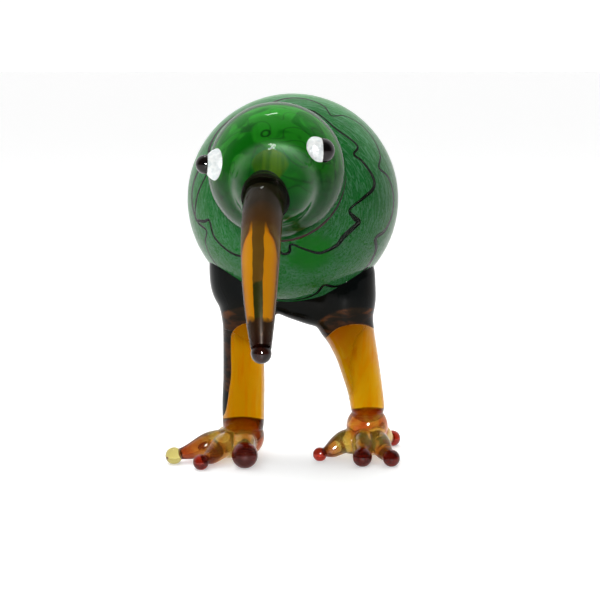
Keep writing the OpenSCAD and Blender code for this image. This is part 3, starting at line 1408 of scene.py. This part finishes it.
class Head:
    """The head's green core, its eyes and the thread round its neck."""

    def __init__(self, shape: HeadShape, nodes: Mapping[str, bpy.types.Object]) -> None:
        """Keeps the head's shape and the CAD's nodes."""
        self.shape = shape
        self.nodes = nodes

    def build(self) -> None:
        """Builds and dresses the core, and dresses the eyes and the neck thread."""
        # The head core's glow is painted light, standing in for light that comes through the green
        # glass; its lighter top is painted light too.
        green = HeadGreen("bright green glass", "38c22c", "249438", roughness=0.4, shine=0.1, glow=0.1)
        core = Solid().ball(self.shape.centre, self.shape.core_radius, 96)
        dress(core.to_object("head_green"), green.material(), "head_green", "head_core")
        white = SolidGlass(
            "opal white glass", "f0f3f1", "d6dddd", drift=0.7, roughness=0.4,
            bump_scale=1.1, bump_depth_mm=0.35,
        ).material()
        black = SolidGlass("pupil glass", "050404", "160c0b", drift=0.4, shine=0.3).material()
        brown = SolidGlass("neck glass", "120a05", "34140a", drift=0.06, shine=0.2).material()
        for side in ("left", "right"):
            self._dress_node(f"{side}_eye_white", white)
            self._dress_node(f"{side}_pupil", black)
        self._dress_node("neck_thread", brown)

    def _dress_node(self, name: str, material: bpy.types.Material) -> None:
        """Dresses a CAD node as it is.

        Args:
            name: The node's name.
            material: What it is dressed in.
        """
        node = self.nodes[name]
        node.data.materials.clear()
        node.data.materials.append(material)
        LOG.info("%s: as in the CAD", name)


@dataclass(frozen=True)
class BeakShape:
    """Sizes of the beak, as in the CAD.

    Attributes:
        curve: Control points of its centreline.
        radius: Radius near the head.
        end_radius: Radius before the tip.
        tip_radius: Radius of the tip's bead.
        rings: Divisions of its length.
    """

    curve: tuple[Vector, ...] = (
        Vector((-6.0, -41.0, 76.4)),
        Vector((-7.4, -54.0, 74.0)),
        Vector((-7.8, -66.0, 61.0)),
        Vector((-7.0, -76.0, 41.3)),
    )
    radius: float = 4.95
    end_radius: float = 2.2
    tip_radius: float = 2.4
    rings: int = 56

    def radius_at(self, t: float) -> float:
        """Gives the rod's radius.

        Args:
            t: Share of the way along the curve.

        Returns:
            The radius.
        """
        return self.end_radius + (self.radius - self.end_radius) * (1.0 - t**4)


class Beak:
    """The beak: a banded core in smoky glass, a collar and a dark tip."""

    CORE_SHARE = 0.62
    CASING_FROM = 0.135
    COLLAR_AT = 0.175
    COLLAR_STEPS = 48
    COLLAR_CLEAR = 0.1
    COLLAR_RADIUS = 0.75

    def __init__(self, shape: BeakShape) -> None:
        """Keeps the beak's shape."""
        self.shape = shape

    def _rod(self, start: float, end: float, share: float) -> list[Station]:
        """Rings along part of the beak, at a share of its radius.

        Args:
            start: Share of the way along where they start.
            end: Share of the way along where they end.
            share: Share of the beak's radius.

        Returns:
            The rings.
        """
        shape = self.shape
        made = []
        for step in range(shape.rings + 1):
            t = start + (end - start) * step / shape.rings
            made.append(Station(bezier(shape.curve, t), share * shape.radius_at(t), t))
        return made

    def build(self) -> None:
        """Builds and dresses the beak's pieces."""
        # The beak core's glow is painted light, standing in for light that comes through the amber
        # bands from behind.
        banded = BandedBeak(
            "banded beak glass", "ffae14", "363c12", roughness=0.25, shine=0.2, glow=0.46
        )
        core = Solid().loft(self._rod(0.02, 0.985, self.CORE_SHARE), 48)
        dress(core.to_object("beak_bands"), banded.material(), "beak_amber", "beak_core")
        smoky = ClearGlass("smoky glass", "f0ebe6", "e6dcd4", "b8a48c", 60.0, wave_depth_mm=0.03,
            mirror=0.05, rim=0.4)
        smoke = smoky.material()
        casing = Solid().loft(self._rod(self.CASING_FROM, 0.975, 1.0), 64)
        dress(casing.to_object("beak_skin"), smoke, "beak_clear", "beak_casing")
        collar = ClearGlass(
            "collar glass", "c8c6bc", "a8a498", "90907e", 40.0, mirror=0.05, rim=0.3
        ).material()
        rings = []
        centre = bezier(self.shape.curve, self.COLLAR_AT)
        ahead = (bezier(self.shape.curve, self.COLLAR_AT + 0.01) - centre).normalized()
        side = (X_AXIS - ahead * X_AXIS.dot(ahead)).normalized()
        over = ahead.cross(side)
        for step in range(self.COLLAR_STEPS):
            angle = FULL_TURN * step / self.COLLAR_STEPS
            spoke = side * math.cos(angle) + over * math.sin(angle)
            reach = self.shape.radius + self.COLLAR_CLEAR
            rings.append(Station(centre + spoke * reach, self.COLLAR_RADIUS))
        dress(Solid().ring(rings, 16).to_object("beak_ring"), collar, "beak_clear", "beak_collar")
        tip = SolidGlass("tip glass", "140705", "2a0d06", drift=0.4, shine=0.3).material()
        bead = Solid().ball(self.shape.curve[3], self.shape.tip_radius)
        dress(bead.to_object("beak_bead"), tip, "beak_dark", "beak_tip")


@dataclass(frozen=True)
class LegShape:
    """Sizes of one leg.

    Attributes:
        side: "left" or "right".
        stations: Centres and radii from the hip down to the ankle.
        amber_edge: Where amber meets black, seen from the front, as X and Z from the
            leg's right side over the top of the dome to its left.
        ankle: The ankle's centre.
        ankle_radius: Its radius.
        toes: Bearing from straight ahead to the left, reach to the bead, bead radius,
            for the outer, middle, inner and hind toe.
    """

    side: str
    stations: tuple[tuple[float, float, float, float], ...]
    amber_edge: tuple[tuple[float, float], ...]
    ankle: tuple[float, float, float]
    ankle_radius: float
    toes: tuple[tuple[float, float, float], ...]


LEFT_LEG = LegShape(
    "left",
    (
        (13.6, -5.0, 49.0, 8.5), (13.4, -5.0, 43.2, 8.9), (13.9, -5.0, 38.0, 8.1),
        (15.4, -4.8, 33.4, 6.7), (16.9, -4.3, 28.6, 5.85), (18.3, -3.8, 23.0, 5.3),
        (19.5, -3.3, 17.6, 4.85), (20.2, -3.0, 13.0, 4.7),
    ),
    ((6.6, 24.0), (7.6, 30.6), (9.1, 33.2), (11.4, 35.8), (14.4, 37.0), (17.4, 37.1),
     (20.1, 36.2), (22.2, 34.3), (24.0, 31.0), (25.4, 24.0)),
    (20.1, -3.0, 7.6), 5.7,
    ((23.0, 15.2, 2.3), (-7.0, 14.2, 2.6), (-58.0, 15.2, 1.9), (142.0, 12.0, 2.2)),
)
RIGHT_LEG = LegShape(
    "right",
    (
        (-12.8, -5.0, 52.0, 9.6), (-12.6, -5.0, 46.7, 9.4), (-12.0, -5.0, 41.6, 8.0),
        (-12.2, -5.0, 36.9, 6.95), (-12.9, -4.8, 32.0, 5.95), (-13.2, -4.7, 26.6, 5.63),
        (-13.2, -4.8, 20.6, 5.7), (-13.35, -5.0, 14.6, 5.8), (-13.4, -5.0, 9.0, 5.7),
    ),
    ((-23.0, 10.4), (-19.6, 10.8), (-18.1, 12.6), (-17.1, 18.0), (-16.45, 23.5),
     (-16.5, 30.0), (-16.2, 34.2), (-14.4, 36.5), (-11.6, 37.5), (-8.6, 36.8),
     (-6.4, 34.4), (-5.2, 30.0), (-4.6, 24.0)),
    (-13.6, -5.0, 5.2), 5.9,
    ((-63.0, 20.2, 2.3), (-34.0, 18.8, 2.1), (4.0, 13.6, 3.5), (-130.0, 11.5, 2.2)),
)
TOE_NAMES = ("outer", "middle", "inner", "hind")


class Hips:
    """The black thighs, the bridge between them, and the amber rods fused below them."""

    BRIDGE = ((13.5, -5.0, 42.4, 7.9), (7.5, -5.0, 42.6, 7.4), (3.6, -5.0, 43.0, 6.8),
              (0.0, -5.0, 43.5, 6.0), (-3.6, -5.0, 44.3, 5.4), (-8.0, -5.0, 45.2, 6.0),
              (-12.6, -5.0, 46.4, 7.4))
    GRAIN_MM = 0.35
    SOFTENING = 40
    EDGE_AT = -10.0
    EDGE_STEPS = 48
    REACH = 40.0
    AMBER_FOOT = 4.0
    DRIP_BELOW = 35.0

    def __init__(self, legs: Sequence[LegShape], body: BodyShape) -> None:
        """Keeps the shapes of the legs and the body."""
        self.legs = legs
        self.body = body

    def build(self) -> None:
        """Builds one melted mass of glass, then parts it into black and amber."""
        solid = Solid()
        for rings in (*(leg.stations for leg in self.legs), self.BRIDGE):
            solid.loft(smooth_stations(rings))
        black = melt(solid.to_object("black_hips"), self.GRAIN_MM, self.SOFTENING)
        for leg in self.legs:
            shank = copy_of(black, f"{leg.side}_amber_shank")
            combine(shank, self._amber_room(leg), Cut.KEEP_SHARED)
            amber = AmberGlass(
                f"{leg.side} amber glass", "fffaf0", "ffdc9c", "efe300", 771.0, wave_depth_mm=0.08,
                mirror=0.0,
            )
            dress(shank, amber.material(), "shank_amber", f"{leg.side}_shank")
        for leg in self.legs:
            combine(black, self._amber_room(leg), Cut.TAKE_AWAY)
        room = Solid().lathe(self.body.outline(0.06), self.body.centre, self.body.axis)
        combine(black, room.to_object("body_room"), Cut.TAKE_AWAY)
        drip = copy_of(black, "black_drip")
        combine(drip, self._below(), Cut.KEEP_SHARED)
        combine(black, self._below(), Cut.TAKE_AWAY)
        glass = HipGlass(
            "black glass", "070a0a", "0c0c09", drift=0.08, bump_scale=0.08, bump_depth_mm=0.06,
            shine=0.06,
        ).material()
        dress(black, glass, "thigh_black", "left_thigh", "right_thigh", "hip_bridge")
        dress(drip, glass, "thigh_black", "right_thigh_drip")

    def _amber_room(self, leg: LegShape) -> bpy.types.Object:
        """All that is amber on a leg: what its edge frames, seen from the front.

        Args:
            leg: The leg's shape.

        Returns:
            A closed prism.
        """
        edge = [Vector((x, self.EDGE_AT, z)) for x, z in leg.amber_edge]
        outline = [glide(edge, step / self.EDGE_STEPS) for step in range(self.EDGE_STEPS + 1)]
        outline += [
            Vector((outline[-1].x, self.EDGE_AT, self.AMBER_FOOT)),
            Vector((outline[0].x, self.EDGE_AT, self.AMBER_FOOT)),
        ]
        back = Vector((0.0, -self.REACH, 0.0))
        outline = [point + back for point in outline]
        return Solid().prism(outline, -2.0 * back).to_object("amber_room")

    def _below(self) -> bpy.types.Object:
        """All that lies lower than the top of the drip, round the right leg.

        Returns:
            A closed box.
        """
        x, y = self.legs[-1].ankle[:2]
        low = Vector((x - self.REACH / 2.0, y - self.REACH / 2.0, 0.0))
        high = Vector((x + self.REACH / 4.0, y + self.REACH / 2.0, self.DRIP_BELOW))
        return Solid().block(low, high).to_object("drip_room")


def smooth_stations(
    rings: Sequence[tuple[float, float, float, float]], per: int = 8
) -> list[Station]:
    """Draws a smooth path through rings.

    Args:
        rings: Centre and radius of each ring.
        per: New rings between two of them.

    Returns:
        The new rings.
    """
    centres = [Vector(ring[:3]) for ring in rings]
    radii = [Vector((ring[3], 0.0, 0.0)) for ring in rings]
    count = (len(rings) - 1) * per
    return [
        Station(glide(centres, step / count), glide(radii, step / count).x, step / count)
        for step in range(count + 1)
    ]


class Foot:
    """One foot: ankle, toes and beads."""

    TOE_ROOT = 3.8
    KNUCKLE = 3.15
    KNUCKLE_LIFT = 0.7
    ROOT_HEIGHT = 5.0
    PRESS = 0.25
    GRAIN_MM = 0.3
    SOFTENING = 10
    FLOOR_REACH = 60.0
    FLOOR_DEPTH = 20.0

    def __init__(self, shape: LegShape) -> None:
        """Keeps the leg's shape."""
        self.shape = shape

    def build(self) -> None:
        """Builds and dresses the foot's pieces."""
        self._foot()
        self._beads()

    def bead_centre(self, toe: int) -> Vector:
        """Gives the centre of a toe's bead.

        Args:
            toe: The toe's number.

        Returns:
            The centre.
        """
        bearing, reach, radius = self.shape.toes[toe]
        angle = math.radians(bearing)
        x, y, _ = self.shape.ankle
        return Vector((x + reach * math.sin(angle), y - reach * math.cos(angle), radius - self.PRESS))

    def _floor_room(self, height: float) -> bpy.types.Object:
        """All that lies lower than a height, where a foot is pressed flat.

        Args:
            height: The top of the box.

        Returns:
            A closed box.
        """
        reach = self.FLOOR_REACH
        low = Vector((-reach, -reach, -self.FLOOR_DEPTH))
        return Solid().block(low, Vector((reach, reach, height))).to_object("floor_room")

    def _foot(self) -> None:
        """Ankle and toes, melted together."""
        shape = self.shape
        ankle = Vector(shape.ankle)
        solid = Solid().ball(ankle, shape.ankle_radius)
        for toe, (_, _, bead) in enumerate(shape.toes):
            end = self.bead_centre(toe)
            root = Vector((ankle.x, ankle.y, self.ROOT_HEIGHT))
            knuckle = root.lerp(end, 0.5) + Z_AXIS * self.KNUCKLE_LIFT
            rings = (
                (*root, self.TOE_ROOT),
                (*root.lerp(end, 0.28), self.TOE_ROOT - 0.1),
                (*knuckle, self.KNUCKLE),
                (*root.lerp(end, 0.74), 2.3),
                (*root.lerp(end, 0.88), bead * 0.72),
            )
            solid.loft(smooth_stations(rings), 32, Z_AXIS)
        piece = melt(solid.to_object(f"{shape.side}_foot"), self.GRAIN_MM, self.SOFTENING)
        combine(piece, self._floor_room(0.02), Cut.TAKE_AWAY)
        glass = FootGlass(
            f"{shape.side} foot glass", "b84a18", "dcb038", "dc9030", 45.0, clarity=0.75,
            wave=0.25, wave_depth_mm=0.08, ankle=shape.ankle, mirror=0.5,
        )
        nodes = [f"{shape.side}_ankle", *(f"{shape.side}_{name}_toe" for name in TOE_NAMES)]
        dress(piece, glass.material(), "ankle_red", *nodes)

    def _beads(self) -> None:
        """The beads that the toes end in."""
        shape = self.shape
        red = ClearGlass(
            f"{shape.side} bead glass", "b03a1c", "9a2c12", "e4541c", 240.0, drift=0.3,
            mirror=0.5, clarity=0.9,
        ).material()
        yellow = ClearGlass("yellow bead glass", "d6cc9a", "c6bc74", "dcd060", 120.0).material()
        for toe, (_, _, radius) in enumerate(shape.toes):
            name = f"{shape.side}_{TOE_NAMES[toe]}_bead"
            is_yellow = shape.side == "right" and toe == 0
            piece = Solid().ball(self.bead_centre(toe), radius).to_object(f"{name}_glass")
            combine(piece, self._floor_room(0.0), Cut.TAKE_AWAY)
            slot = "bead_yellow" if is_yellow else "bead_red"
            dress(piece, yellow if is_yellow else red, slot, name)


# -------------------------------------------------------------------- stage


class Studio:
    """A pale table, soft light from above and a camera in front."""

    ELEVATION = math.radians(9.0)
    DISTANCE = 500.0
    TARGET = Vector((1.9, 0.0, 41.7))
    LENS = 111.1
    FRONT_LIGHT = 0.1
    BACK_LIGHT = 1.08
    TABLE_GLOW = 0.4
    TABLE_HALF = 3.0
    SWEEP = (-0.25, 0.45)

    def build(self) -> None:
        """Builds the floor, the world, the lights and the camera."""
        self._floor()
        self._world()
        self._lamp("softbox", (-60.0, 120.0, 520.0), 420.0, 420.0, 3.0, mirrored=False)
        self._lamp("fill", (-160.0, -520.0, 330.0), 360.0, 260.0, 5.0, mirrored=False)
        self._lamp("strip", (-45.0, 160.0, 510.0), 90.0, 36.0, 16.0)
        self._lamp("spark", (50.0, -475.0, 196.0), 40.0, 40.0, 1600.0, soft=False)
        self._camera()
        self._render()

    def _floor(self) -> None:
        """Lays a wide plain table."""
        mesh = bmesh.new()
        bmesh.ops.create_grid(mesh, x_segments=1, y_segments=1, size=self.TABLE_HALF)
        data = bpy.data.meshes.new("table")
        mesh.to_mesh(data)
        mesh.free()
        table = bpy.data.objects.new("table", data)
        bpy.context.scene.collection.objects.link(table)
        graph = Graph("white table")
        pale = graph.mix(graph.noise(0.01, 2.0), "fbfbfb", "f7f7f7")
        surface = graph.add(
            "ShaderNodeBsdfPrincipled",
            {
                "Base Color": pale,
                "Roughness": 0.6,
                "Emission Color": (1.0, 1.0, 1.0, 1.0),
                "Emission Strength": self.TABLE_GLOW,
            },
        ).outputs[0]
        data.materials.append(graph.finish(surface))

    def _world(self) -> None:
        """Lights the scene from a white sweep behind and a dimmer room in front."""
        world = bpy.data.worlds.new("studio")
        world.use_nodes = True
        tree = world.node_tree
        tree.nodes.clear()
        coords = tree.nodes.new("ShaderNodeTexCoord")
        parts = tree.nodes.new("ShaderNodeSeparateXYZ")
        share = tree.nodes.new("ShaderNodeMapRange")
        share.interpolation_type = "SMOOTHSTEP"
        light = tree.nodes.new("ShaderNodeBackground")
        out = tree.nodes.new("ShaderNodeOutputWorld")
        limits = (*self.SWEEP, self.FRONT_LIGHT, self.BACK_LIGHT)
        for key, value in enumerate(limits, start=1):
            share.inputs[key].default_value = value
        light.inputs["Color"].default_value = (1.0, 1.0, 1.0, 1.0)
        tree.links.new(coords.outputs["Generated"], parts.inputs[0])
        tree.links.new(parts.outputs[1], share.inputs[0])
        tree.links.new(share.outputs[0], light.inputs["Strength"])
        tree.links.new(light.outputs[0], out.inputs["Surface"])
        bpy.context.scene.world = world

    def _lamp(
        self, name: str, at: tuple[float, float, float], width: float, height: float,
        glow: float, mirrored: bool = True, soft: bool = True,
    ) -> None:
        """Adds a softbox that faces the bird.

        Args:
            name: The lamp's name.
            at: Its place, in bird space.
            width: Its width.
            height: Its height.
            glow: Its radiance, where 1 is the white of the backdrop.
            mirrored: Whether it shows in the glass.
            soft: Whether it lights matt surfaces.
        """
        light = bpy.data.lights.new(name, "AREA")
        light.shape = "RECTANGLE"
        light.size = width * MM
        light.size_y = height * MM
        light.energy = math.pi * glow * light.size * light.size_y
        lamp = bpy.data.objects.new(name, light)
        place = (Vector(at) + ROW_SHIFT) * MM
        aim = (self.TARGET + ROW_SHIFT) * MM - place
        turn = aim.to_track_quat("-Z", "Y").to_matrix().to_4x4()
        lamp.matrix_world = Matrix.Translation(place) @ turn
        lamp.visible_glossy = mirrored
        lamp.visible_diffuse = soft
        lamp.visible_transmission = mirrored
        bpy.context.scene.collection.objects.link(lamp)

    def _camera(self) -> None:
        """Puts the camera in front of the bird, a little above it."""
        data = bpy.data.cameras.new("camera")
        data.lens = self.LENS
        data.clip_start = 0.01
        data.clip_end = 20.0
        camera = bpy.data.objects.new("camera", data)
        away = Vector((0.0, -math.cos(self.ELEVATION), math.sin(self.ELEVATION)))
        place = (self.TARGET + ROW_SHIFT + away * self.DISTANCE) * MM
        turn = (-away).to_track_quat("-Z", "Y").to_matrix().to_4x4()
        camera.matrix_world = Matrix.Translation(place) @ turn
        bpy.context.scene.collection.objects.link(camera)
        bpy.context.scene.camera = camera

    def _render(self) -> None:
        """Sets what the glass needs: enough bounces, clean light and true colours."""
        scene = bpy.context.scene
        scene.view_settings.view_transform = "Standard"
        cycles = scene.cycles
        cycles.use_denoising = True
        cycles.max_bounces = 20
        cycles.transmission_bounces = 16
        cycles.transparent_max_bounces = 24
        cycles.glossy_bounces = 6
        cycles.diffuse_bounces = 4
        cycles.caustics_reflective = False
        cycles.caustics_refractive = False


def main() -> None:
    """Builds the bird over its CAD frame."""
    logging.basicConfig(level=logging.INFO, format="%(name)s: %(message)s")
    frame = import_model()
    body, head = BodyShape(), HeadShape()
    Casing(body, head).build()
    Body(body).build()
    Head(head, frame["nodes"]).build()
    Beak(BeakShape()).build()
    Hips((LEFT_LEG, RIGHT_LEG), body).build()
    for leg in (LEFT_LEG, RIGHT_LEG):
        Foot(leg).build()
    Studio().build()


if __name__ == "__main__":
    main()
